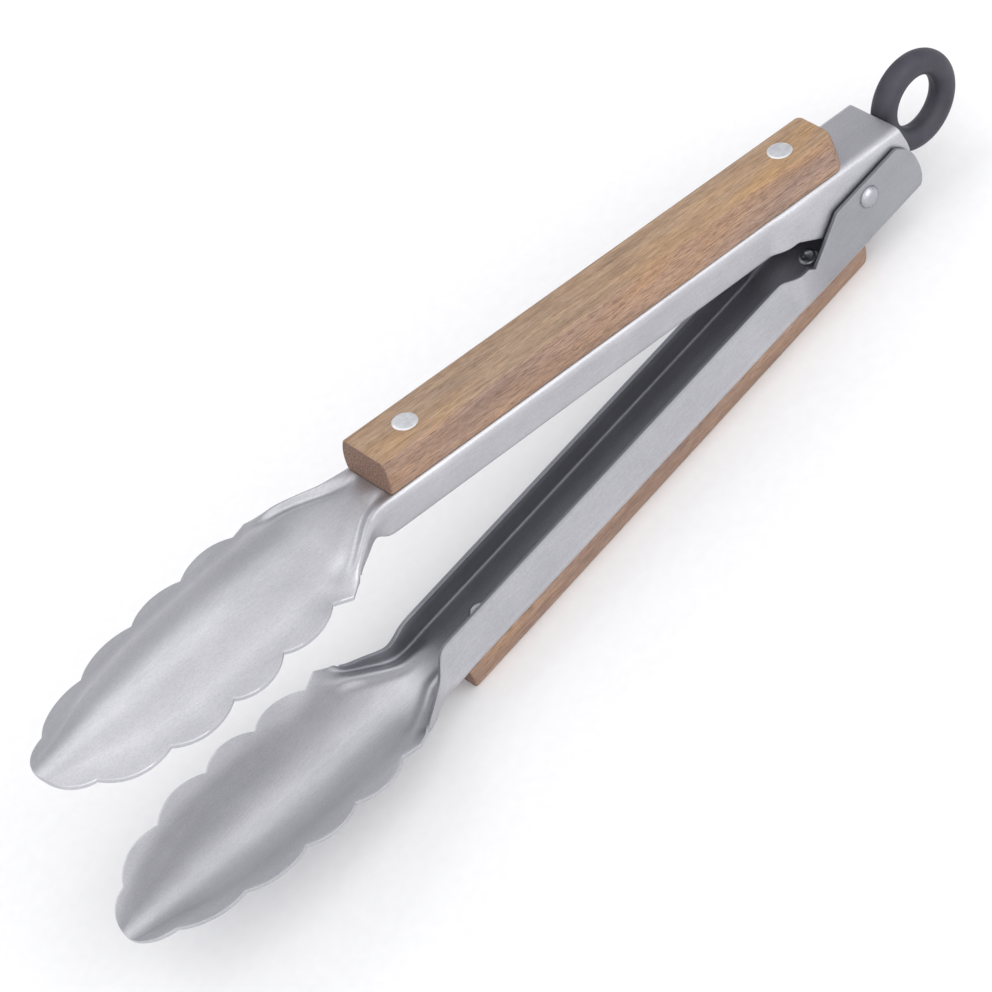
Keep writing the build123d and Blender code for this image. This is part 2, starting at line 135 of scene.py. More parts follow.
# Bead pressed along each fold of the neck: ridge on the fold, valley beside it on the floor
BEAD_RIDGE = 0.4
BEAD_RIDGE_WIDTH = 1.5
BEAD_VALLEY = 0.75
BEAD_VALLEY_WIDTH = 1.7
BEAD_APART = 3.2
BEAD_START = (120.0, 127.0)
BEAD_END = (136.0, 144.0)

# Wall edges at the hinge end: x towards the hinge, depth
LOWER_WALL_TOP = [(-27, 9.3), (-25, 8.85), (-19, 8.7), (-17.6, 7.3), (-8.1, 14.1), (-7.2, 14.2)]
UPPER_WALL_TOP = [(-27, 9.3), (-25, 8.85), (-18.4, 8.9), (-11.4, 12.2), (-7, 15.2), (-3, 16.3)]
# Rear outline: depth, x towards the hinge
LOWER_REAR = [(0, 11.6), (0.8, 11.8), (3, 13.0), (6, 13.4), (8.9, 13.2), (11.6, 12.3), (14.2, 10.0)]
UPPER_REAR = [
    (0, 11.5),
    (1.2, 11.7),
    (4, 12.7),
    (6.2, 13.2),
    (8, 13.2),
    (11.5, 11.0),
    (15.8, 8.9),
    (16.3, 7.6),
]


# ---------------------------------------------------------------- frames of the two arms
def arm_matrix(angle, pivot_depth, inward):
    """Local frame of an arm, in metres: x towards the hinge with 0 at the pivot, z the depth.

    inward is 1 where depth goes up, and -1 where it goes down.
    """
    turn = math.radians(angle)
    along = Vector((math.cos(turn), 0, -math.sin(turn)))
    depth = Vector((math.sin(turn), 0, math.cos(turn))) * inward
    across = depth.cross(along)
    origin = (Vector((PIVOT_X, 0, PIVOT_Z)) - depth * pivot_depth) * MM
    matrix = Matrix((along, across, depth)).transposed().to_4x4()
    matrix.translation = origin
    return matrix


LOWER = arm_matrix(0, PIVOT_DEPTH_LOWER, 1)
UPPER = arm_matrix(OPEN_ANGLE, PIVOT_DEPTH_UPPER, -1)
PIVOT = Matrix.Translation(Vector((PIVOT_X, 0, PIVOT_Z)) * MM)


# ---------------------------------------------------------------- small curve and mesh helpers
SHARP_ANGLE = 50


def pchip(xs, ys):
    """Monotone cubic interpolation through a table."""
    xs = np.asarray(xs, float)
    ys = np.asarray(ys, float)
    step = np.diff(xs)
    rise = np.diff(ys) / step
    slope = np.zeros(len(xs))
    slope[0] = rise[0]
    slope[-1] = rise[-1]
    for i in range(1, len(xs) - 1):
        if rise[i - 1] * rise[i] > 0:
            a = 2 * step[i] + step[i - 1]
            b = step[i] + 2 * step[i - 1]
            slope[i] = (a + b) / (a / rise[i - 1] + b / rise[i])

    def value(x):
        i = int(np.clip(np.searchsorted(xs, x) - 1, 0, len(step) - 1))
        t = min(max((x - xs[i]) / step[i], 0.0), 1.0)
        h00 = 2 * t**3 - 3 * t**2 + 1
        h01 = 3 * t**2 - 2 * t**3
        h10 = t**3 - 2 * t**2 + t
        h11 = t**3 - t**2
        return h00 * ys[i] + h01 * ys[i + 1] + step[i] * (h10 * slope[i] + h11 * slope[i + 1])

    return value


def smooth_step(x, start, end):
    """0 before start, 1 after end, and a smooth rise between them."""
    t = min(max((x - start) / (end - start), 0.0), 1.0)
    return t * t * (3 - 2 * t)


def make_object(name, points, faces, matrix, sharp_angle=SHARP_ANGLE):
    """A smooth-shaded mesh object from points in millimetres, in the frame that matrix gives."""
    mesh = bpy.data.meshes.new(name)
    mesh.from_pydata([tuple(p * MM) for p in np.asarray(points, float)], [], faces)
    mesh.validate()
    mesh.shade_smooth()
    mesh.set_sharp_from_angle(angle=math.radians(sharp_angle))
    piece = bpy.data.objects.new(name, mesh)
    bpy.context.scene.collection.objects.link(piece)
    piece.matrix_world = matrix
    return piece


def ring_faces(rows, count):
    """Quads between consecutive closed rings of count points."""
    faces = []
    for low in range(0, (rows - 1) * count, count):
        high = low + count
        for i in range(count):
            j = (i + 1) % count
            faces.append((low + i, low + j, high + j, high + i))
    return faces


def cap_faces(base, count, middle, steps, side=1):
    """Quads across an end ring that starts at base, joining its points i and middle - i."""
    faces = []
    for i in range(steps):
        ring = [(side * k) % count for k in (i, i + 1, middle - i - 1, middle - i)]
        corners = tuple(dict.fromkeys(base + k for k in ring))
        if len(corners) > 2:
            faces.append(corners)
    return faces


LATHE_SHARP_ANGLE = 35


def lathe(name, profile, matrix, segments):
    """A closed turned shape about the local z axis, from a (radius, z) profile that ends on it."""
    inner = profile[1:-1]
    points = []
    for radius, z in inner:
        for k in range(segments):
            a = 2 * math.pi * k / segments
            points.append((radius * math.cos(a), radius * math.sin(a), z))
    faces = ring_faces(len(inner), segments)
    first = len(points)
    points += [(0, 0, profile[0][1]), (0, 0, profile[-1][1])]
    last_ring = (len(inner) - 1) * segments
    for k in range(segments):
        j = (k + 1) % segments
        faces.append((first, j, k))
        faces.append((first + 1, last_ring + k, last_ring + j))
    return make_object(name, points, faces, matrix, LATHE_SHARP_ANGLE)


def face_outwards(piece):
    """Turns every face of a closed mesh outwards."""
    bpy.context.view_layer.objects.active = piece
    piece.select_set(True)
    bpy.ops.object.mode_set(mode="EDIT")
    bpy.ops.mesh.select_all(action="SELECT")
    bpy.ops.mesh.normals_make_consistent(inside=False)
    bpy.ops.object.mode_set(mode="OBJECT")
    piece.select_set(False)


def cut_with(piece, cutters):
    """Cuts closed cutter objects out of a piece, then removes them."""
    for cutter in cutters:
        face_outwards(cutter)
        bpy.context.view_layer.update()
        modifier = piece.modifiers.new("cut", "BOOLEAN")
        modifier.operation = "DIFFERENCE"
        modifier.solver = "MANIFOLD"
        modifier.object = cutter
    graph = bpy.context.evaluated_depsgraph_get()
    whole = bpy.data.meshes.new_from_object(piece.evaluated_get(graph))
    piece.modifiers.clear()
    piece.data = whole
    for cutter in cutters:
        bpy.data.objects.remove(cutter)


CUTTER_HALF = 12


def prism(outline, matrix):
    """A closed cutter: an (x, z) outline carried right across an arm."""
    count = len(outline)
    points = [(x, side * CUTTER_HALF, z) for side in (-1, 1) for x, z in outline]
    faces = [tuple(range(count)), tuple(range(2 * count - 1, count - 1, -1))]
    faces += [(i, (i + 1) % count, count + (i + 1) % count, count + i) for i in range(count)]
    return make_object("cutter", points, faces, matrix)


CIRCLE_POINTS = 48


def circle_outline(x, z, radius):
    """Points (x, z) round a circle."""
    turns = [2 * math.pi * k / CIRCLE_POINTS for k in range(CIRCLE_POINTS)]
    return [(x + radius * math.cos(a), z + radius * math.sin(a)) for a in turns]


# Names of the mesh attributes that materials read
ARM_AXES = "arm_axes"
# The second attribute holds the painted shade of the channel's inside and of the ears
PAINTED_SHADE = "inside"


def settle(piece):
    """Notes each point's place in the piece's own axes, then moves the mesh to the shared frame."""
    mesh = piece.data
    co = np.zeros(len(mesh.vertices) * 3, np.float32)
    mesh.vertices.foreach_get("co", co)
    attribute = mesh.attributes.new(ARM_AXES, "FLOAT_VECTOR", "POINT")
    attribute.data.foreach_set("vector", co)
    mesh.transform(piece.matrix_world)
    piece.matrix_world = Matrix.Identity(4)


# ---------------------------------------------------------------- section of a pressed arm
TABLE_START = 100.0
TABLE_STEP = 0.25
SMOOTH_STEPS = 16
SMOOTH_WIDTH = 0.9
NO_LIMIT = 50.0


def table_functions(channel_half):
    """Fine stations over neck and scoop, and smooth columns there for centre, fold and edge."""
    rows = [(row[0], row[1], max(row[2], channel_half), *row[3:]) for row in SECTIONS]
    for station, centre, half, depth in SCOOP:
        slope = LIP_SLOPE * (depth - centre) / half
        fold = (half - LIP, depth - slope * LIP)
        edge = (half + SCOOP_MARGIN, depth + slope * SCOOP_MARGIN)
        rows.append((station, centre, *fold, *edge))
    rows = np.array(rows)
    fine = np.arange(TABLE_START, TIP + 1.01, TABLE_STEP)
    offsets = np.arange(-SMOOTH_STEPS, SMOOTH_STEPS + 1) * TABLE_STEP
    kernel = np.exp(-((offsets / SMOOTH_WIDTH) ** 2) / 2)
    kernel /= kernel.sum()
    functions = []
    for column in range(1, rows.shape[1]):
        raw = pchip(rows[:, 0], rows[:, column])
        values = np.array([raw(s) for s in fine])
        before = np.full(SMOOTH_STEPS, values[0])
        after = 2 * values[-1] - values[-2 : -2 - SMOOTH_STEPS : -1]
        padded = np.concatenate([before, values, after])
        functions.append(np.convolve(padded, kernel, mode="valid"))
    return fine, functions


def arm_sections(channel_half, half, wall):
    """Function of station giving (centre, fold, edge).

    half and wall are the half width and wall height of the upright hinge end.
    """
    fine, columns = table_functions(channel_half)

    def section(station):
        if station < TABLE_START:
            mix = 1 - smooth_step(station, HINGE_BOX, JOGGLE)
            fold = np.array((channel_half + (half - channel_half) * mix, 0.0))
            edge_half = WALL_EDGE_HALF + (half - WALL_EDGE_HALF) * mix
            return 0.0, fold, np.array((edge_half, WALL_HEIGHT + (wall - WALL_HEIGHT) * mix))
        values = [np.interp(station, fine, column) for column in columns]
        centre, fold_y, fold_z, edge_y, edge_z = values
        return centre, np.array((fold_y, fold_z)), np.array((edge_y, edge_z))

    return section


def outline_half(station):
    """Half width of the plan outline: the neck's flare, then the lobes, then the round tip."""
    if station <= NECK_OUTLINE[0][0]:
        return NO_LIMIT
    if station <= NOTCHES[0][0]:
        corners = NECK_OUTLINE + [FLARE, NOTCHES[0]]
        return float(np.interp(station, [c[0] for c in corners], [c[1] for c in corners]))
    if station >= NOTCHES[-1][0]:
        start, half = NOTCHES[-1]
        rise = TIP - start
        radius = (half**2 + rise**2) / (2 * rise)
        return math.sqrt(max(radius**2 - (station - (TIP - radius)) ** 2, 0.0))
    lobe = next(i for i, notch in enumerate(NOTCHES[1:]) if station <= notch[0])
    (s0, y0), (s1, y1) = NOTCHES[lobe : lobe + 2]
    chord = math.hypot(s1 - s0, y1 - y0)
    radius = ((chord / 2) ** 2 + LOBE_RISE**2) / (2 * LOBE_RISE)
    normal = (-(y1 - y0) / chord, (s1 - s0) / chord)
    back = radius - LOBE_RISE
    cs = (s0 + s1) / 2 - normal[0] * back
    cy = (y0 + y1) / 2 - normal[1] * back
    return cy + math.sqrt(max(radius**2 - (station - cs) ** 2, 0.0))


# Points along half of a face, before it is sampled again
FLOOR_POINTS = 24
BEND_POINTS = 24
WALL_POINTS = 12
LEAST_REACH = 0.15
MOST_REACH_SHARE = 0.9


def half_profile(centre, fold, edge, reach, bead):
    """Fine points of half a face from its middle to its edge, with their lengths along it.

    Also the lengths where the floor and the bend end. reach is how far the bend goes from the fold.
    """
    wall_length = np.linalg.norm(edge - fold)
    reach = max(min(reach, wall_length * MOST_REACH_SHARE), LEAST_REACH)
    ys = np.linspace(0, fold[0] - reach, FLOOR_POINTS)
    floor = np.stack([ys, centre + (fold[1] - centre) * (ys / fold[0]) ** 2], 1)
    bend_top = fold + (edge - fold) / wall_length * reach
    t = np.linspace(0, 1, BEND_POINTS + 1)[1:, None]
    bend = floor[-1] * (1 - t) ** 2 + fold * 2 * t * (1 - t) + bend_top * t**2
    wall = bend_top + (edge - bend_top) * np.linspace(0, 1, WALL_POINTS + 1)[1:, None]
    points = np.concatenate([floor, bend, wall])
    steps = np.linalg.norm(np.diff(points, axis=0), axis=1)
    lengths = np.concatenate([[0], np.cumsum(steps)])
    floor_len = lengths[FLOOR_POINTS - 1]
    bend_len = lengths[FLOOR_POINTS + BEND_POINTS - 1]
    past_fold = lengths - (floor_len + bend_len) / 2
    ridge = BEAD_RIDGE * np.exp(-((past_fold / BEAD_RIDGE_WIDTH) ** 2))
    valley = BEAD_VALLEY * np.exp(-(((past_fold + BEAD_APART) / BEAD_VALLEY_WIDTH) ** 2))
    points[:, 1] += bead * (valley - ridge)
    return points, lengths, floor_len, bend_len


def cut_length(points, lengths, half_limit, depth_limit):
    """Length along a half profile where it first passes the half width or depth limit."""
    over = np.maximum(points[:, 0] - half_limit, points[:, 1] - depth_limit)
    past = np.nonzero(over > 0)[0]
    if len(past) == 0:
        return lengths[-1]
    i = past[0]
    share = over[i - 1] / (over[i - 1] - over[i])
    return lengths[i - 1] + share * (lengths[i] - lengths[i - 1])


# Steps along half of a face, as it is sampled for the mesh
FLOOR_STEPS = 14
BEND_STEPS = 12
WALL_STEPS = 12
MOST_SHARE = 0.97
RIM_R = 0.22


def sample_lengths(total, floor_len, bend_len, even):
    """Lengths to sample at: along floor, bend and wall, or evenly as even goes to 1."""
    bend_stop = min(bend_len, total * MOST_SHARE)
    floor_stop = min(floor_len, bend_stop * MOST_SHARE)
    parts = [
        np.linspace(0, floor_stop, FLOOR_STEPS + 1),
        np.linspace(floor_stop, bend_stop, BEND_STEPS + 1)[1:],
        np.linspace(bend_stop, total, WALL_STEPS + 1)[1:],
    ]
    featured = np.concatenate(parts)
    evenly = np.linspace(0, total, len(featured))
    return featured * (1 - even) + evenly * even


def face_points(centre, fold, edge, reach, bead, half_limit, depth_limit, even):
    """Half of a face: points from the middle to a rim radius short of the edge, and the edge."""
    points, lengths, floor_len, bend_len = half_profile(centre, fold, edge, reach, bead)
    total = cut_length(points, lengths, half_limit, depth_limit)
    short = max(total - RIM_R, total * 0.5)
    wanted = sample_lengths(short, floor_len, bend_len, even)
    sampled = np.stack([np.interp(wanted, lengths, points[:, k]) for k in (0, 1)], 1)
    corner = np.array([np.interp(total, lengths, points[:, k]) for k in (0, 1)])
    return sampled, corner


CORNER_WEIGHT = 0.6
BESIDE_WEIGHT = 0.2


def eased_corner(corner, before, after):
    """A rim corner drawn in towards the points beside it."""
    return corner * CORNER_WEIGHT + (before + after) * BESIDE_WEIGHT


def section_loop(section, bead, half_limit, depth_limit, even):
    """Closed loop (y, z) round the sheet: outer face, rounded rim, inner face, rounded rim."""
    centre, fold, edge = section
    floor_way = np.array((fold[0], 2 * (fold[1] - centre)))
    floor_way /= np.linalg.norm(floor_way)
    wall_way = (edge - fold) / np.linalg.norm(edge - fold)
    floor_normal = np.array((-floor_way[1], floor_way[0]))
    wall_normal = np.array((-wall_way[1], wall_way[0]))
    turn = math.atan2(wall_way[1], wall_way[0]) - math.atan2(floor_way[1], floor_way[0])
    reach = min(BEND, float(np.linalg.norm(edge - fold)) / 2)
    inner_fold = fold + (floor_normal + wall_normal) * SHEET / (1 + floor_normal @ wall_normal)
    outer, outer_edge = face_points(centre, fold, edge, reach, bead, half_limit, depth_limit, even)
    inner, inner_edge = face_points(
        centre + SHEET,
        inner_fold,
        edge + wall_normal * SHEET,
        reach - SHEET * math.tan(turn / 2),
        bead,
        half_limit,
        depth_limit,
        even,
    )
    across = inner_edge - outer_edge
    width = max(float(np.linalg.norm(across)), 1e-6)
    way = across / width
    step = min(RIM_R, width / 3)
    near = outer_edge + way * step
    far = inner_edge - way * step
    corner_out = eased_corner(outer_edge, outer[-1], near)
    corner_in = eased_corner(inner_edge, inner[-1], far)
    right = np.concatenate([outer, [corner_out, near, far, corner_in], inner[::-1]])
    left = right[::-1].copy()
    left[:, 0] *= -1
    return np.concatenate([right, left[1:-1]])


# Rows of points along an arm. Spans are (start, stop, gap)
TAIL_ROWS = 9
HINGE_END = 26.0
HINGE_GAP = 0.6
PLAIN_SPAN = (HINGE_END, 118.0, 4.0)
NECK_SPAN = (118.0, 145.0, 0.45)
SCOOP_SPAN = (145.0, 197.6, 0.7)
TIP_ROWS = 24
# Over these stations the points across a row become evenly spaced
EVEN_SPACING = (132.0, 138.0)


def arm_stations(top_x, body_x):
    """Stations of the rows from the hinge end to the tip, closest where the shape changes."""
    hinge = set(np.round(np.arange(0.5 - HINGE_END, body_x - 0.3, HINGE_GAP), 3))
    hinge |= {x for x in top_x if x > -HINGE_END}
    shaped = {s for s, y in NOTCHES} | {FLARE[0]} | {s for s, y in NECK_OUTLINE}
    for span in (NECK_SPAN, SCOOP_SPAN):
        shaped |= set(np.round(np.arange(*span), 3))
    start = SCOOP_SPAN[1]
    turns = np.linspace(0, math.pi / 2, TIP_ROWS + 2)[1:-1]
    tip = [start + (TIP - start) * math.sin(t) for t in turns] + [TIP - 0.01]
    plain = list(np.arange(*PLAIN_SPAN))
    return [-x for x in sorted(hinge, reverse=True)] + plain + sorted(shaped) + tip


def pressed_arm(name, matrix, channel_half, half, wall, wall_top, rear, body_x):
    """A whole pressed arm as one closed sheet of even thickness."""
    section_at = arm_sections(channel_half, half, wall)
    top_x = [p[0] for p in wall_top]
    top_z = [p[1] for p in wall_top]
    rear_z = [p[0] for p in rear]
    rear_x = pchip(rear_z, [p[1] for p in rear])

    tail = section_loop(section_at(0.0), 0.0, NO_LIMIT, max(top_z), 0.0)
    tail_x = np.array([rear_x(min(max(z, 0.0), rear_z[-1])) for y, z in tail])
    shares = np.linspace(0, 1, TAIL_ROWS)[::-1]
    loops = [np.column_stack([body_x + share * (tail_x - body_x), tail]) for share in shares]
    for station in arm_stations(top_x, body_x):
        limit = np.interp(-station, top_x, top_z) if station < HINGE_END else NO_LIMIT
        even = smooth_step(station, *EVEN_SPACING)
        bead = smooth_step(station, *BEAD_START) * (1 - smooth_step(station, *BEAD_END))
        loop = section_loop(section_at(station), bead, outline_half(station), limit, even)
        loops.append(np.column_stack([np.full(len(loop), -station), loop]))

    count = len(loops[0])
    faces = ring_faces(len(loops), count)
    # Both ends are closed with quads from the outer face to the inner one
    middle_inner = 2 * (FLOOR_STEPS + BEND_STEPS + WALL_STEPS + 1) + 3
    for base in (0, (len(loops) - 1) * count):
        for side in (1, -1):
            faces += cap_faces(base, count, middle_inner, middle_inner // 2, side)
    piece = make_object(name, np.concatenate(loops), faces, matrix)
    face_outwards(piece)
    return piece


def add_painted_shade(piece, inside_test):
    """How much each point has the painted shade, and the rougher finish, of the channel's inside.
    """
    mesh = piece.data
    values = [inside_test(v.co, v.normal) for v in mesh.vertices]
    attribute = mesh.attributes.new(PAINTED_SHADE, "FLOAT", "POINT")
    attribute.data.foreach_set("value", np.array(values, np.float32))


# Spans over which the painted shade starts or fades, by station
# Share of the painted shade on the outsides of the lower arm's ears
EAR_PAINTED_SHADE = 0.55
EAR_FADE = (14.0, JOGGLE)
FLOOR_FADE = (116.0, 132.0)
WALL_FADE = (135.0, 143.0)
# How far inside the fold a point counts as floor, and as wall
FOLD_BAND = (2.6, 0.6)
LOOKS_IN = (0.1, 0.6)


def channel_painted_shade(co, normal):
    """Painted shade: 1 on faces that look into the channel, fading out through the neck, on its
    walls last of all.

    The outsides of the lower arm's ears have a part of this painted shade too.
    """
    x = -co[0] / MM
    y = abs(co[1]) / MM
    depth = co[2] / MM
    if y > EAR_HALF - 0.2 and x < JOGGLE:
        return EAR_PAINTED_SHADE * (1 - smooth_step(x, *EAR_FADE))
    if depth < SHEET * 0.6:
        return 0.0
    fold_half = np.interp(x, SECTIONS[:, 0], SECTIONS[:, 2])
    on_wall = smooth_step(y, fold_half - FOLD_BAND[0], fold_half - FOLD_BAND[1])
    looks_in = max(normal[2], -normal[1] * math.copysign(on_wall, co[1]))
    floor_fade = 1 - smooth_step(x, *FLOOR_FADE)
    wall_fade = 1 - smooth_step(x, *WALL_FADE)
    return smooth_step(looks_in, *LOOKS_IN) * (floor_fade + (wall_fade - floor_fade) * on_wall)


def add_sheet_map(piece):
    """UV in metres: along the arm, and the unrolled width across it."""
    mesh = piece.data
    layer = mesh.uv_layers.new(name="sheet")
    co = np.zeros(len(mesh.vertices) * 3)
    mesh.vertices.foreach_get("co", co)
    co = co.reshape(-1, 3)
    reach = co[:, 1] + np.sign(co[:, 1]) * np.maximum(co[:, 2], 0)
    index = np.zeros(len(mesh.loops), int)
    mesh.loops.foreach_get("vertex_index", index)
    uv = np.stack([co[index, 0], reach[index]], 1)
    layer.data.foreach_set("uv", uv.astype(np.float32).ravel())


def finish_arm(piece):
    """Marks sharp edges again after the cuts, and adds the grain's map and the painted shade of the
    inside.
    """
    piece.data.shade_smooth()
    piece.data.set_sharp_from_angle(angle=math.radians(SHARP_ANGLE))
    add_sheet_map(piece)
    add_painted_shade(piece, channel_painted_shade)


lower_arm = pressed_arm(
    "lower_arm_sheet",
    LOWER,
    EAR_HALF,
    EAR_HALF,
    LOWER_WALL,
    LOWER_WALL_TOP,
    LOWER_REAR,
    LOWER_BODY_X,
)
upper_arm = pressed_arm(
    "upper_arm_sheet",
    UPPER,
    UPPER_CHANNEL_HALF,
    UPPER_HALF,
    UPPER_WALL,
    UPPER_WALL_TOP,
    UPPER_REAR,
    UPPER_BODY_X,
)

pivot_hole = circle_outline(0, PIVOT_DEPTH_LOWER, PIVOT_R + HOLE_CLEARANCE)
cut_with(lower_arm, [prism(pivot_hole, LOWER)])

SLOT_END_STEPS = 12


def lock_window():
    """Outlines, in the upper arm's frame, of the sleeve's hole, two slots and the gap between."""
    shapes = [circle_outline(0, PIVOT_DEPTH_UPPER, SLEEVE_R + HOLE_CLEARANCE)]
    radius = LOCK_WINDOW_HALF
    for angle in (CLOSED_ANGLE, OPEN_ANGLE):
        turn = math.radians(angle)
        way = np.array((math.cos(turn), -math.sin(turn)))
        normal = np.array((-way[1], way[0]))
        centre = np.array((0, PIVOT_DEPTH_UPPER))
        outline = []
        for reach, start in ((LOCK_PIN_X + LOCK_TRAVEL, -90), (LOCK_PIN_X, 90)):
            for k in range(SLOT_END_STEPS + 1):
                a = math.radians(start + 180 / SLOT_END_STEPS * k)
                along = reach + radius * math.cos(a)
                outline.append(tuple(centre + way * along + normal * radius * math.sin(a)))
        shapes.append(outline)
    half_swing = math.radians((OPEN_ANGLE - CLOSED_ANGLE) / 2)
    middle = math.radians(CLOSED_ANGLE) + half_swing
    cx = LOCK_PIN_X * math.cos(middle)
    cz = PIVOT_DEPTH_UPPER - LOCK_PIN_X * math.sin(middle)
    tall = LOCK_PIN_X * math.sin(half_swing)
    corners = ((-1, -1), (1, -1), (1, 1), (-1, 1))
    shapes.append([(cx + radius * i, cz + tall * j) for i, j in corners])
    return shapes


cut_with(upper_arm, [prism(shape, UPPER) for shape in lock_window()])
for arm in (lower_arm, upper_arm):
    finish_arm(arm)


# ---------------------------------------------------------------- wooden grips
GRIP_FOOT_R = 0.25
GRIP_BACK_R = 0.6
GRIP_SHARP_ANGLE = 40


def grip_half_loop(x):
    """Half of the bar's section at x, from the middle of the foot to the middle of the back."""
    base = -GRIP_GAP
    top = -GRIP_THICK
    foot_r = GRIP_FOOT_R
    back_r = GRIP_BACK_R
    share = (x + GRIP_FRONT) / (GRIP_FRONT - GRIP_REAR)
    front = np.array(GRIP_FRONT_SECTION)
    half, back_half, bow = front + (np.array(GRIP_REAR_SECTION) - front) * share
    foot = [
        (0.0, base),
        (half * 0.5, base),
        (half - foot_r, base),
        (half - foot_r * 0.3, base - foot_r * 0.3),
    ]
    side = []
    for t in np.linspace(0.03, 0.93, 14):
        y = half + (back_half - half) * t + bow * 4 * t * (1 - t)
        side.append((y, base + (top - base) * t))
    back = [
        (back_half + 0.08 - back_r * 0.28, top + back_r * 0.3),
        (back_half + 0.06 - back_r * 0.62, top + back_r * 0.08),
        (back_half - back_r, top),
        (back_half * 0.5, top),
        (0.0, top),
    ]
    return foot + side + back


def corner_inset(x, radius):
    """How far a rear corner of the given plan radius draws a side in at x."""
    into = x + GRIP_REAR + radius
    if into <= 0:
        return 0.0
    return radius - math.sqrt(max(radius**2 - into**2, 0.0))


# How far a row's edges are eased at the rear end, and how much of that goes to its height
REAR_EASE = 0.3
EASE_TO_LIFT = 0.4
# Share of the corner's radius that is drawn in, and the half width where the whole of it counts
INSET_SHARE = 0.9
INSET_HALF = 5.0


def grip_rows():
    """Rows along the bar: x, and how far the edges are eased there."""
    rows = [(-GRIP_FRONT, 0.35), (-GRIP_FRONT + 0.08, 0.15), (-GRIP_FRONT + 0.3, 0.0)]
    rows += [(x, 0.0) for x in np.linspace(-GRIP_FRONT + 3, -GRIP_REAR - 3, 40)]
    for a in np.linspace(0, math.pi / 2, 16):
        x = -GRIP_REAR - GRIP_NEAR_R * (1 - math.sin(a))
        rows.append((x, REAR_EASE * (1 - math.cos(a)) ** 4))
    return rows


def grip_wood(name, matrix, near_sign):
    """A bar with bowed sides, eased edges and rounded rear corners.

    near_sign is the sign of y on the near side, whose rear corner is the rounder one.
    """
    middle_z = -(GRIP_GAP + GRIP_THICK) / 2
    rows = grip_rows()
    points = []
    for x, ease in rows:
        half_loop = grip_half_loop(x)
        loop = half_loop + [(-y, z) for y, z in half_loop[-2:0:-1]]
        for y, z in loop:
            radius = GRIP_NEAR_R if y * near_sign > 0 else GRIP_FAR_R
            inset = ease + corner_inset(x, radius) * INSET_SHARE
            width = max(abs(y) - inset * min(abs(y) / INSET_HALF, 1.0), 0)
            height = 1 - ease * EASE_TO_LIFT / abs(middle_z)
            points.append((x, math.copysign(width, y), middle_z + (z - middle_z) * height))
    count = len(loop)
    faces = ring_faces(len(rows), count)
    for base in (0, (len(rows) - 1) * count):
        faces += cap_faces(base, count, count, len(half_loop) - 1)
    piece = make_object(name, points, faces, matrix, GRIP_SHARP_ANGLE)
    face_outwards(piece)
    return piece


lower_grip = grip_wood("lower_grip_wood", LOWER, -1)
upper_grip = grip_wood("upper_grip_wood", UPPER, 1)


# ---------------------------------------------------------------- rivets and pivot
RIVET_SHANK_R = 1.5
RIVET_SEGMENTS = 48
# Radius, and depth below the head's top
RIVET_HEAD = [
    (0, 0),
    (1.9, 0),
    (2.35, 0.03),
    (2.54, 0.14),
    (RIVET_HEAD_R, 0.32),
    (RIVET_HEAD_R, 0.9),
    (RIVET_SHANK_R, 0.9),
]
# Radius, and height above the channel's floor, of the end that is rolled over inside
RIVET_CLINCH = [
    (RIVET_SHANK_R, 0),
    (2.0, 0),
    (2.08, 0.2),
    (2.02, 0.5),
    (1.78, 0.72),
    (1.45, 0.8),
    (1.1, 0.74),
    (0.85, 0.55),
    (0.7, 0.25),
    (0.35, 0.18),
    (0, 0.16),
]
# How far a rivet's head stands above the wood
LOWER_PROUD = 0.0
UPPER_PROUD = 0.15


def grip_rivet(name, matrix, station, proud):
    """Head with an eased edge, shank, and an end rolled over inside the channel, with a dimple."""
    top = -GRIP_THICK - proud
    clinch = SHEET + GRIP_GAP
    profile = [(radius, top + z) for radius, z in RIVET_HEAD]
    profile += [(radius, clinch + z) for radius, z in RIVET_CLINCH]
    place = matrix @ Matrix.Translation(Vector((-station, 0, 0)) * MM)
    return lathe(name, profile, place, RIVET_SEGMENTS)


rivets = {}
for side_name, matrix, proud in (("lower", LOWER, LOWER_PROUD), ("upper", UPPER, UPPER_PROUD)):
    for place_name, station in RIVET_STATIONS.items():
        node = f"{side_name}_grip_rivet_{place_name}"
        rivets[node] = (grip_rivet(node + "_turned", matrix, station, proud), side_name)


PIVOT_HEAD_GAP = 0.05
# Radius, and height above the head's flat underside
PIVOT_DOME = [
    (0, 1.3),
    (0.5, 1.27),
    (1.0, 1.17),
    (1.4, 1.02),
    (1.8, 0.78),
    (2.1, 0.5),
    (2.3, 0.24),
    (2.38, 0.08),
    (2.4, 0.0),
]
PIVOT_SEGMENTS = 64


def pivot_profile():
    """Profile of the pivot rivet: a shank with a domed head at both ends."""
    face = EAR_HALF + PIVOT_HEAD_GAP
    ends = [(radius, -face - z) for radius, z in PIVOT_DOME] + [(PIVOT_R, -face)]
    return ends + [(radius, -z) for radius, z in reversed(ends)]


turn_to_y = Matrix.Rotation(math.radians(90), 4, "X")
pivot_rivet = lathe("pivot_rivet_domed", pivot_profile(), PIVOT @ turn_to_y, PIVOT_SEGMENTS)


# ---------------------------------------------------------------- torsion spring
WIRE_CLEARANCE = 0.05
LEG_POINTS = 10
COIL_POINTS = 170
WIRE_SEGMENTS = 16
WIRE_SHARP_ANGLE = 60
# The wire's ends: length over which they are eased, and the end face's share of the radius
WIRE_END = 0.12
WIRE_END_SCALE = 0.75


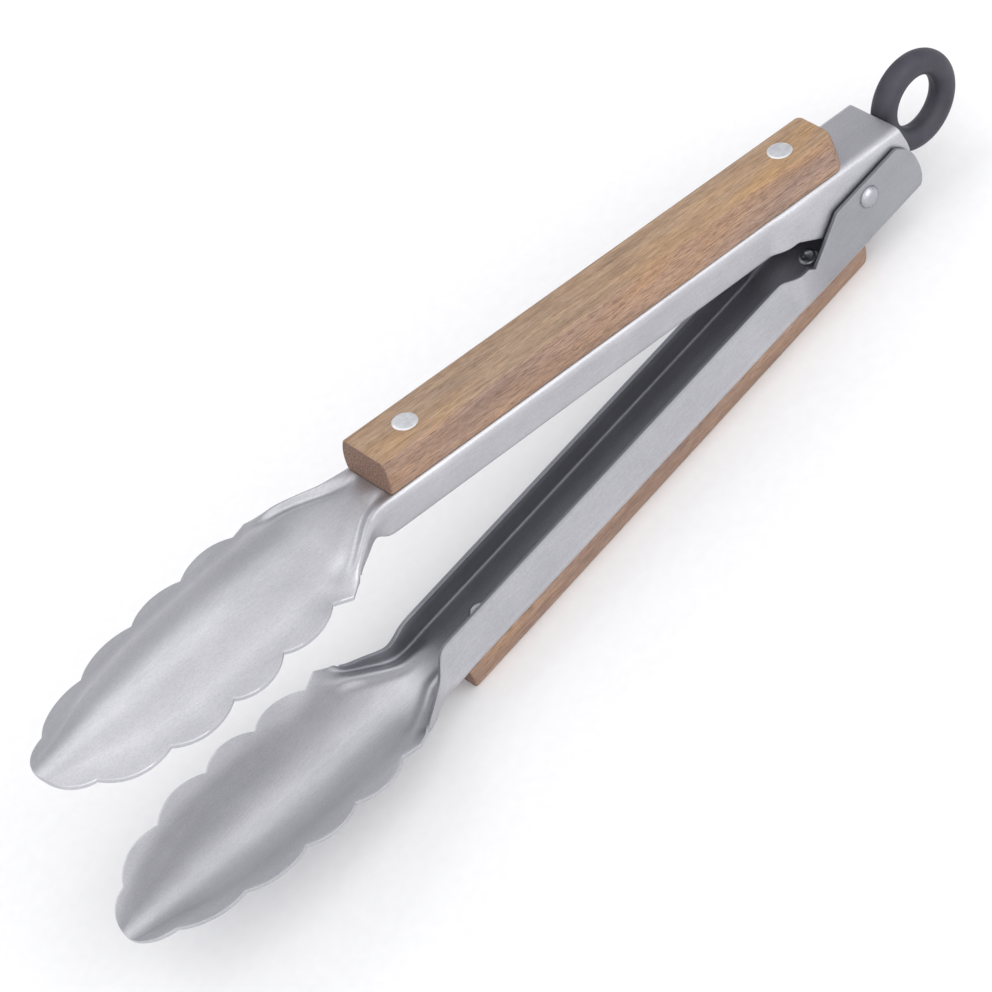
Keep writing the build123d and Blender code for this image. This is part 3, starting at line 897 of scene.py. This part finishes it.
def spring_line():
    """Centreline measured from the pivot, lower leg's end first, and the y where this leg lies."""
    clear = WIRE_R + WIRE_CLEARANCE
    lower_end = np.array((-LOWER_LEG_REACH, SHEET + clear - PIVOT_DEPTH_LOWER))
    height = PIVOT_DEPTH_UPPER - SHEET - clear
    turn = math.radians(OPEN_ANGLE)
    upper_end = np.array(
        (
            height * math.sin(turn) - UPPER_LEG_REACH * math.cos(turn),
            height * math.cos(turn) + UPPER_LEG_REACH * math.sin(turn),
        )
    )
    # Angles where each leg leaves the coil along a tangent
    lower_spread = math.acos(COIL_R / np.linalg.norm(lower_end))
    upper_spread = math.acos(COIL_R / np.linalg.norm(upper_end))
    start = math.atan2(lower_end[1], lower_end[0]) + lower_spread
    end = math.atan2(upper_end[1], upper_end[0]) - upper_spread
    swept = 2 * math.pi * WHOLE_TURNS + (end - start) % (2 * math.pi)
    far_y = COIL_START_Y + swept / (2 * math.pi) * COIL_PITCH
    line = [(lower_end[0], far_y, lower_end[1])]
    first = np.array((COIL_R * math.cos(start), COIL_R * math.sin(start)))
    for t in np.linspace(0.05, 0.95, LEG_POINTS):
        p = lower_end + (first - lower_end) * t
        line.append((p[0], far_y, p[1]))
    for t in np.linspace(0, 1, COIL_POINTS):
        a = start + swept * t
        y = far_y + (COIL_START_Y - far_y) * t
        line.append((COIL_R * math.cos(a), y, COIL_R * math.sin(a)))
    last = np.array((COIL_R * math.cos(end), COIL_R * math.sin(end)))
    for t in np.linspace(0.05, 1, LEG_POINTS + 1):
        p = last + (upper_end - last) * t
        line.append((p[0], COIL_START_Y, p[1]))
    return np.array(line), far_y


def wire(name, line, radius):
    """A round wire along a line that is given from the pivot, with eased ends."""
    steps = np.diff(line, axis=0)
    ways = np.concatenate([steps[:1], steps[:-1] + steps[1:], steps[-1:]])
    ways /= np.linalg.norm(ways, axis=1)[:, None]
    side = np.cross(ways[0], (0, 1, 0))
    rows = []
    for point, way in zip(line, ways):
        side = side - way * (side @ way)
        side /= np.linalg.norm(side)
        rows.append((point, way, side.copy()))
    first, first_way, first_side = rows[0]
    last, last_way, last_side = rows[-1]
    scaled = [
        (first, first_way, first_side, WIRE_END_SCALE),
        (first + first_way * WIRE_END, first_way, first_side, 1.0),
        *((point, way, side, 1.0) for point, way, side in rows[1:-1]),
        (last - last_way * WIRE_END, last_way, last_side, 1.0),
        (last, last_way, last_side, WIRE_END_SCALE),
    ]
    points = []
    for point, way, side, scale in scaled:
        other = np.cross(way, side)
        for k in range(WIRE_SEGMENTS):
            a = 2 * math.pi * k / WIRE_SEGMENTS
            points.append(point + (side * math.cos(a) + other * math.sin(a)) * radius * scale)
    faces = ring_faces(len(scaled), WIRE_SEGMENTS)
    end = (len(scaled) - 1) * WIRE_SEGMENTS
    faces.append(tuple(range(WIRE_SEGMENTS)))
    faces.append(tuple(range(end + WIRE_SEGMENTS - 1, end - 1, -1)))
    return make_object(name, points, faces, PIVOT, WIRE_SHARP_ANGLE)


SPRING_LINE, SPRING_FAR_Y = spring_line()
spring = wire("torsion_spring_wire", SPRING_LINE, WIRE_R)
face_outwards(spring)


# ---------------------------------------------------------------- node helpers for materials
class Shader:
    """A material's node tree with short calls for the nodes used here."""

    def __init__(self, name):
        self.material = bpy.data.materials.new(name)
        self.material.use_nodes = True
        self.tree = self.material.node_tree
        self.shader = self.tree.nodes["Principled BSDF"]
        self.coordinates = self.tree.nodes.new("ShaderNodeTexCoord")

    def feed(self, socket, value):
        """Sets a socket to a number or a colour, or links another node's output to it."""
        if isinstance(value, tuple):
            socket.default_value = (*value, 1.0)
        elif isinstance(value, (int, float)):
            socket.default_value = value
        else:
            self.tree.links.new(value, socket)

    def attribute(self, name):
        node = self.tree.nodes.new("ShaderNodeAttribute")
        node.attribute_name = name
        return node

    def split(self, vector):
        """Outputs X, Y and Z of a vector."""
        node = self.tree.nodes.new("ShaderNodeSeparateXYZ")
        self.feed(node.inputs["Vector"], vector)
        return node.outputs

    def place(self, scale, source):
        """Scaled coordinates: Object, UV, or arm for the piece's own axes."""
        node = self.tree.nodes.new("ShaderNodeMapping")
        node.inputs["Scale"].default_value = scale
        if source == "arm":
            own = self.attribute(ARM_AXES).outputs["Vector"]
        else:
            own = self.coordinates.outputs[source]
        self.feed(node.inputs["Vector"], own)
        return node.outputs["Vector"]

    def noise(self, scale, source, detail, rough, distort=0.0):
        """Noise with scale cells to the metre along each axis."""
        vector = self.place(scale, source)
        node = self.tree.nodes.new("ShaderNodeTexNoise")
        node.inputs["Scale"].default_value = 1.0
        node.inputs["Detail"].default_value = detail
        node.inputs["Roughness"].default_value = rough
        node.inputs["Distortion"].default_value = distort
        self.feed(node.inputs["Vector"], vector)
        return node.outputs["Fac"]

    def ramp(self, source, stops):
        """A colour or value ramp; stops are (place, value or colour)."""
        node = self.tree.nodes.new("ShaderNodeValToRGB")
        elements = node.color_ramp.elements
        while len(elements) < len(stops):
            elements.new(0.5)
        for element, (spot, colour) in zip(elements, stops):
            element.position = spot
            if isinstance(colour, (int, float)):
                colour = (colour, colour, colour)
            element.color = (*colour, 1.0)
        self.feed(node.inputs["Fac"], source)
        return node.outputs["Color"]

    def mix(self, factor, a, b, blend="MIX"):
        node = self.tree.nodes.new("ShaderNodeMix")
        node.data_type = "RGBA"
        node.blend_type = blend
        for socket, value in (("Factor", factor), ("A", a), ("B", b)):
            self.feed(node.inputs[socket], value)
        return node.outputs["Result"]

    def math(self, operation, a, b=0.0):
        node = self.tree.nodes.new("ShaderNodeMath")
        node.operation = operation
        for socket, value in zip(node.inputs, (a, b)):
            self.feed(socket, value)
        return node.outputs["Value"]

    def bump(self, height, distance, strength, normal=None):
        node = self.tree.nodes.new("ShaderNodeBump")
        node.inputs["Strength"].default_value = strength
        node.inputs["Distance"].default_value = distance
        self.feed(node.inputs["Height"], height)
        if normal is not None:
            self.feed(node.inputs["Normal"], normal)
        return node.outputs["Normal"]

    def set(self, **values):
        """Feeds the shader's own sockets, named like base_color."""
        for name, value in values.items():
            self.feed(self.shader.inputs[name.replace("_", " ").title()], value)

    def set_specular(self, level):
        self.shader.inputs["Specular IOR Level"].default_value = level


# ---------------------------------------------------------------- materials
def stainless():
    """Satin stainless sheet: fine grain along the arm, faint cloudiness, a blasted speckle, and
    painted shade inside the channel.
    """
    m = Shader("satin_stainless")
    cloud = m.noise((55, 80, 80), "arm", 4.0, 0.6)
    grain = m.noise((190, 4200, 1), "UV", 4.0, 0.65)
    speckle = m.noise((2300, 3100, 3100), "arm", 2.0, 0.6)
    base = m.ramp(cloud, [(0.3, (0.53, 0.53, 0.555)), (0.7, (0.62, 0.62, 0.645))])
    fine = m.ramp(grain, [(0.3, (0.86, 0.86, 0.87)), (0.7, (1.0, 1.0, 1.0))])
    colour = m.mix(0.8, base, fine, "MULTIPLY")
    dots = m.ramp(speckle, [(0.3, 0.84), (0.62, 1.0)])
    colour = m.mix(0.75, colour, dots, "MULTIPLY")
    # Painted shade: darker colour where the arm looks into its channel and on the ears, which are
    # also made rougher
    inside = m.attribute(PAINTED_SHADE).outputs["Fac"]
    painted_shade_colour = m.mix(1.0, colour, (0.5, 0.5, 0.53), "MULTIPLY")
    colour = m.mix(inside, colour, painted_shade_colour)
    rough = m.ramp(grain, [(0.25, 0.44), (0.75, 0.33)])
    rough = m.mix(inside, rough, (0.6, 0.6, 0.6))
    normal = m.bump(grain, 0.00003, 0.35)
    normal = m.bump(speckle, 0.00002, 0.3, normal)
    m.set(base_color=colour, metallic=1.0, roughness=rough, normal=normal)
    return m.material


def wood():
    """Oiled light hardwood: long fibres, short dark pores, warm patches, darker end grain."""
    m = Shader("grip_wood")
    patches = m.noise((20, 100, 100), "arm", 3.0, 0.55, 0.8)
    figure = m.noise((40, 520, 520), "arm", 4.0, 0.6, 0.4)
    fibre = m.noise((260, 4600, 4600), "arm", 3.0, 0.65)
    pores = m.noise((520, 7800, 7800), "arm", 2.0, 0.5)
    greyish = (0.37, 0.265, 0.19)
    brown = (0.44, 0.302, 0.198)
    amber = (0.49, 0.308, 0.16)
    base = m.ramp(patches, [(0.32, greyish), (0.52, brown), (0.72, amber)])
    band = m.ramp(figure, [(0.3, (0.68, 0.65, 0.64)), (0.6, (1.0, 1.0, 1.0))])
    colour = m.mix(0.75, base, band, "MULTIPLY")
    thread = m.ramp(fibre, [(0.34, (0.62, 0.6, 0.59)), (0.6, (1.06, 1.06, 1.06))])
    colour = m.mix(0.9, colour, thread, "MULTIPLY")
    pore_mask = m.ramp(pores, [(0.57, 0.0), (0.66, 1.0)])

    # The sawn sides are greyer than the sanded back, and the end grain is darker and redder
    facing = m.split(m.coordinates.outputs["Normal"])
    sideways = m.ramp(m.math("ABSOLUTE", facing["Y"]), [(0.35, 0.0), (0.8, 1.0)])
    endways = m.ramp(m.math("ABSOLUTE", facing["X"]), [(0.5, 0.0), (0.85, 1.0)])
    side_tint = m.mix(1.0, colour, (0.84, 0.8, 0.88), "MULTIPLY")
    colour = m.mix(sideways, colour, side_tint)
    end_dots = m.noise((500, 2600, 2600), "arm", 2.0, 0.5)
    end_colour = m.ramp(end_dots, [(0.35, (0.16, 0.09, 0.066)), (0.65, (0.31, 0.195, 0.145))])
    pore_depth = m.math("ADD", m.math("MULTIPLY", sideways, 0.35), 0.28)
    pore_share = m.math("MULTIPLY", pore_mask, pore_depth)
    pore_colour = m.mix(pore_share, colour, (0.1, 0.058, 0.04))
    colour = m.mix(endways, pore_colour, end_colour)

    rough = m.ramp(fibre, [(0.3, 0.72), (0.7, 0.56)])
    normal = m.bump(fibre, 0.00009, 0.7)
    normal = m.bump(m.math("MULTIPLY", pore_mask, -1.0), 0.0001, 0.5, normal)
    m.set(base_color=colour, roughness=rough, normal=normal)
    m.set_specular(0.35)
    return m.material


# A depth that no piece reaches
NOWHERE = 1000.0


def turned_metal(name, colour, rough_range, scratch_scale, painted_shade_from=NOWHERE):
    """Turned or pressed metal: fine scratches and soft cloudiness. Past the given depth it is
    darkened with painted shade.
    """
    low_rough, high_rough = rough_range
    m = Shader(name)
    cloud = m.noise((900, 900, 900), "Object", 3.0, 0.6)
    fine = m.noise((scratch_scale, scratch_scale * 0.35, scratch_scale), "Object", 2.0, 0.6)
    dark = tuple(c * 0.82 for c in colour)
    base = m.ramp(cloud, [(0.3, dark), (0.65, colour)])
    # Painted shade: the end rolled over inside the channel is darker than the head
    depth = m.split(m.place((1000, 1000, 1000), "arm"))["Z"]
    painted_shade_mask = m.math("GREATER_THAN", depth, painted_shade_from)
    base = m.mix(painted_shade_mask, base, m.mix(1.0, base, (0.6, 0.6, 0.62), "MULTIPLY"))
    rough = m.ramp(fine, [(0.3, high_rough), (0.7, low_rough)])
    normal = m.bump(fine, 0.00002, 0.35)
    m.set(base_color=base, metallic=1.0, roughness=rough, normal=normal)
    return m.material


def ring_plastic():
    """Matt moulded plastic with a fine spark-eroded texture."""
    m = Shader("ring_plastic")
    cloud = m.noise((220, 220, 220), "Object", 3.0, 0.5)
    stipple = m.noise((5200, 5200, 5200), "Object", 2.0, 0.5)
    base = m.ramp(cloud, [(0.3, (0.026, 0.025, 0.036)), (0.7, (0.042, 0.04, 0.055))])
    rough = m.ramp(stipple, [(0.3, 0.62), (0.7, 0.48)])
    normal = m.bump(stipple, 0.00004, 0.4)
    m.set(base_color=base, roughness=rough, normal=normal)
    return m.material


def floor_paint():
    """Plain pale floor with a hardly visible tooth."""
    m = Shader("floor")
    tooth = m.noise((400, 400, 400), "Object", 2.0, 0.5)
    base = m.ramp(tooth, [(0.3, (0.86, 0.86, 0.865)), (0.7, (0.88, 0.88, 0.885))])
    m.set(base_color=base, roughness=0.9)
    m.set_specular(0.1)
    return m.material


STEEL = stainless()
WOOD = wood()
# The rivets get painted shade on their ends inside the channel
ALUMINIUM = turned_metal("rivet_aluminium", (0.84, 0.855, 0.87), (0.34, 0.5), 2600, SHEET)
POLISHED = turned_metal("polished_steel", (0.44, 0.45, 0.48), (0.24, 0.34), 2200)
PLAIN = turned_metal("plain_steel", (0.5, 0.5, 0.52), (0.3, 0.45), 1800)
WIRE = turned_metal("spring_wire", (0.34, 0.34, 0.36), (0.28, 0.42), 3000)
PLASTIC = ring_plastic()


def paint(piece, material):
    """Gives a piece one material."""
    piece.data.materials.clear()
    piece.data.materials.append(material)


def stand_for(piece, node, body, material):
    """Settles a piece, gives it its material and a body unless none is given, and hides the CAD
    node it stands for.
    """
    settle(piece)
    paint(piece, material)
    if body is not None:
        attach(piece, body)
    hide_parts(node)


stand_for(lower_arm, "lower_arm", "lower", STEEL)
stand_for(upper_arm, "upper_arm", "upper", STEEL)
stand_for(lower_grip, "lower_grip", "lower", WOOD)
stand_for(upper_grip, "upper_grip", "upper", WOOD)
for node, (piece, body) in rivets.items():
    stand_for(piece, node, body, ALUMINIUM)
stand_for(pivot_rivet, "pivot_rivet", "lower", POLISHED)
stand_for(spring, "torsion_spring", None, WIRE)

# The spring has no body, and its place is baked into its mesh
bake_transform(spring)

# CAD nodes that keep their own shape
for node, material in (
    ("pivot_sleeve", PLAIN),
    ("lock_plate", PLAIN),
    ("lock_pin", POLISHED),
    ("ring_pin", PLAIN),
    ("pull_ring", PLASTIC),
):
    paint(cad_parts[node], material)


# ---------------------------------------------------------------- floor, camera and lights
FLOOR_HALF = 3.0
FLOOR_DROP = 0.00005
SENSOR_WIDTH = 36
LENS = 156.2
CAMERA_AWAY = (-0.237, -0.630, 0.739)
CAMERA_RIGHT = (0.664, -0.661, -0.350)
CAMERA_DISTANCE = 0.8337
# In millimetres, unlike the distance
CAMERA_TARGET = (-7.74, 8.85, 17.8)


def stage_floor():
    mesh = bpy.data.meshes.new("floor")
    corners = [(x * FLOOR_HALF, y * FLOOR_HALF, 0) for x, y in ((-1, -1), (1, -1), (1, 1), (-1, 1))]
    mesh.from_pydata(corners, [], [(0, 1, 2, 3)])
    floor = bpy.data.objects.new("floor", mesh)
    bpy.context.scene.collection.objects.link(floor)
    floor.location.z = -FLOOR_DROP
    floor.data.materials.append(floor_paint())


def area_light(name, place, target, size, power):
    """A white rectangular light that faces target."""
    data = bpy.data.lights.new(name, "AREA")
    data.shape = "RECTANGLE"
    data.size = size[0]
    data.size_y = size[1]
    data.energy = power
    light = bpy.data.objects.new(name, data)
    bpy.context.scene.collection.objects.link(light)
    light.location = place
    light.rotation_mode = "QUATERNION"
    light.rotation_quaternion = (Vector(target) - Vector(place)).to_track_quat("-Z", "Y")


def camera():
    """A camera at CAMERA_DISTANCE from its target, with its roll from CAMERA_RIGHT."""
    data = bpy.data.cameras.new("camera")
    data.sensor_width = SENSOR_WIDTH
    data.lens = LENS
    data.clip_start = 0.05
    data.clip_end = 20
    eye = bpy.data.objects.new("camera", data)
    bpy.context.scene.collection.objects.link(eye)
    away = Vector(CAMERA_AWAY).normalized()
    right = Vector(CAMERA_RIGHT)
    right = (right - away * right.dot(away)).normalized()
    up = away.cross(right)
    turn = Matrix((right, up, away)).transposed()
    eye.rotation_mode = "QUATERNION"
    eye.rotation_quaternion = turn.to_quaternion()
    eye.location = Vector(CAMERA_TARGET) * MM + away * CAMERA_DISTANCE
    bpy.context.scene.camera = eye


stage_floor()
camera()
area_light(
    "back_softbox", place=(0.1, 0.62, 0.8), target=(-0.06, 0, 0.03), size=(0.5, 0.5), power=0.9
)
area_light("front_fill", place=(0.3, -1.0, 0.75), target=(0, 0, 0), size=(1.2, 0.8), power=4.0)


WORLD_BRIGHT_WAY = (-0.1, -0.72, 0.68)
WORLD_DIM = (0.4, 0.4, 0.42, 1)
WORLD_BRIGHT = (0.99, 0.99, 1.0, 1)
WORLD_BRIGHT_FROM = 0.85
WORLD_STRENGTH = 1.47


def studio_world():
    """A soft white dome: bright overhead and in front, dimmer low down behind."""
    world = bpy.data.worlds.new("studio")
    bpy.context.scene.world = world
    world.use_nodes = True
    tree = world.node_tree
    direction = tree.nodes.new("ShaderNodeTexCoord")
    level = tree.nodes.new("ShaderNodeVectorMath")
    level.operation = "DOT_PRODUCT"
    level.inputs[1].default_value = WORLD_BRIGHT_WAY
    ramp = tree.nodes.new("ShaderNodeValToRGB")
    dim, bright = ramp.color_ramp.elements
    dim.position = 0.0
    dim.color = WORLD_DIM
    bright.position = WORLD_BRIGHT_FROM
    bright.color = WORLD_BRIGHT
    tree.links.new(direction.outputs["Generated"], level.inputs[0])
    tree.links.new(level.outputs["Value"], ramp.inputs["Fac"])
    tree.links.new(ramp.outputs["Color"], tree.nodes["Background"].inputs["Color"])
    tree.nodes["Background"].inputs["Strength"].default_value = WORLD_STRENGTH


studio_world()
bpy.context.scene.view_settings.view_transform = "Standard"
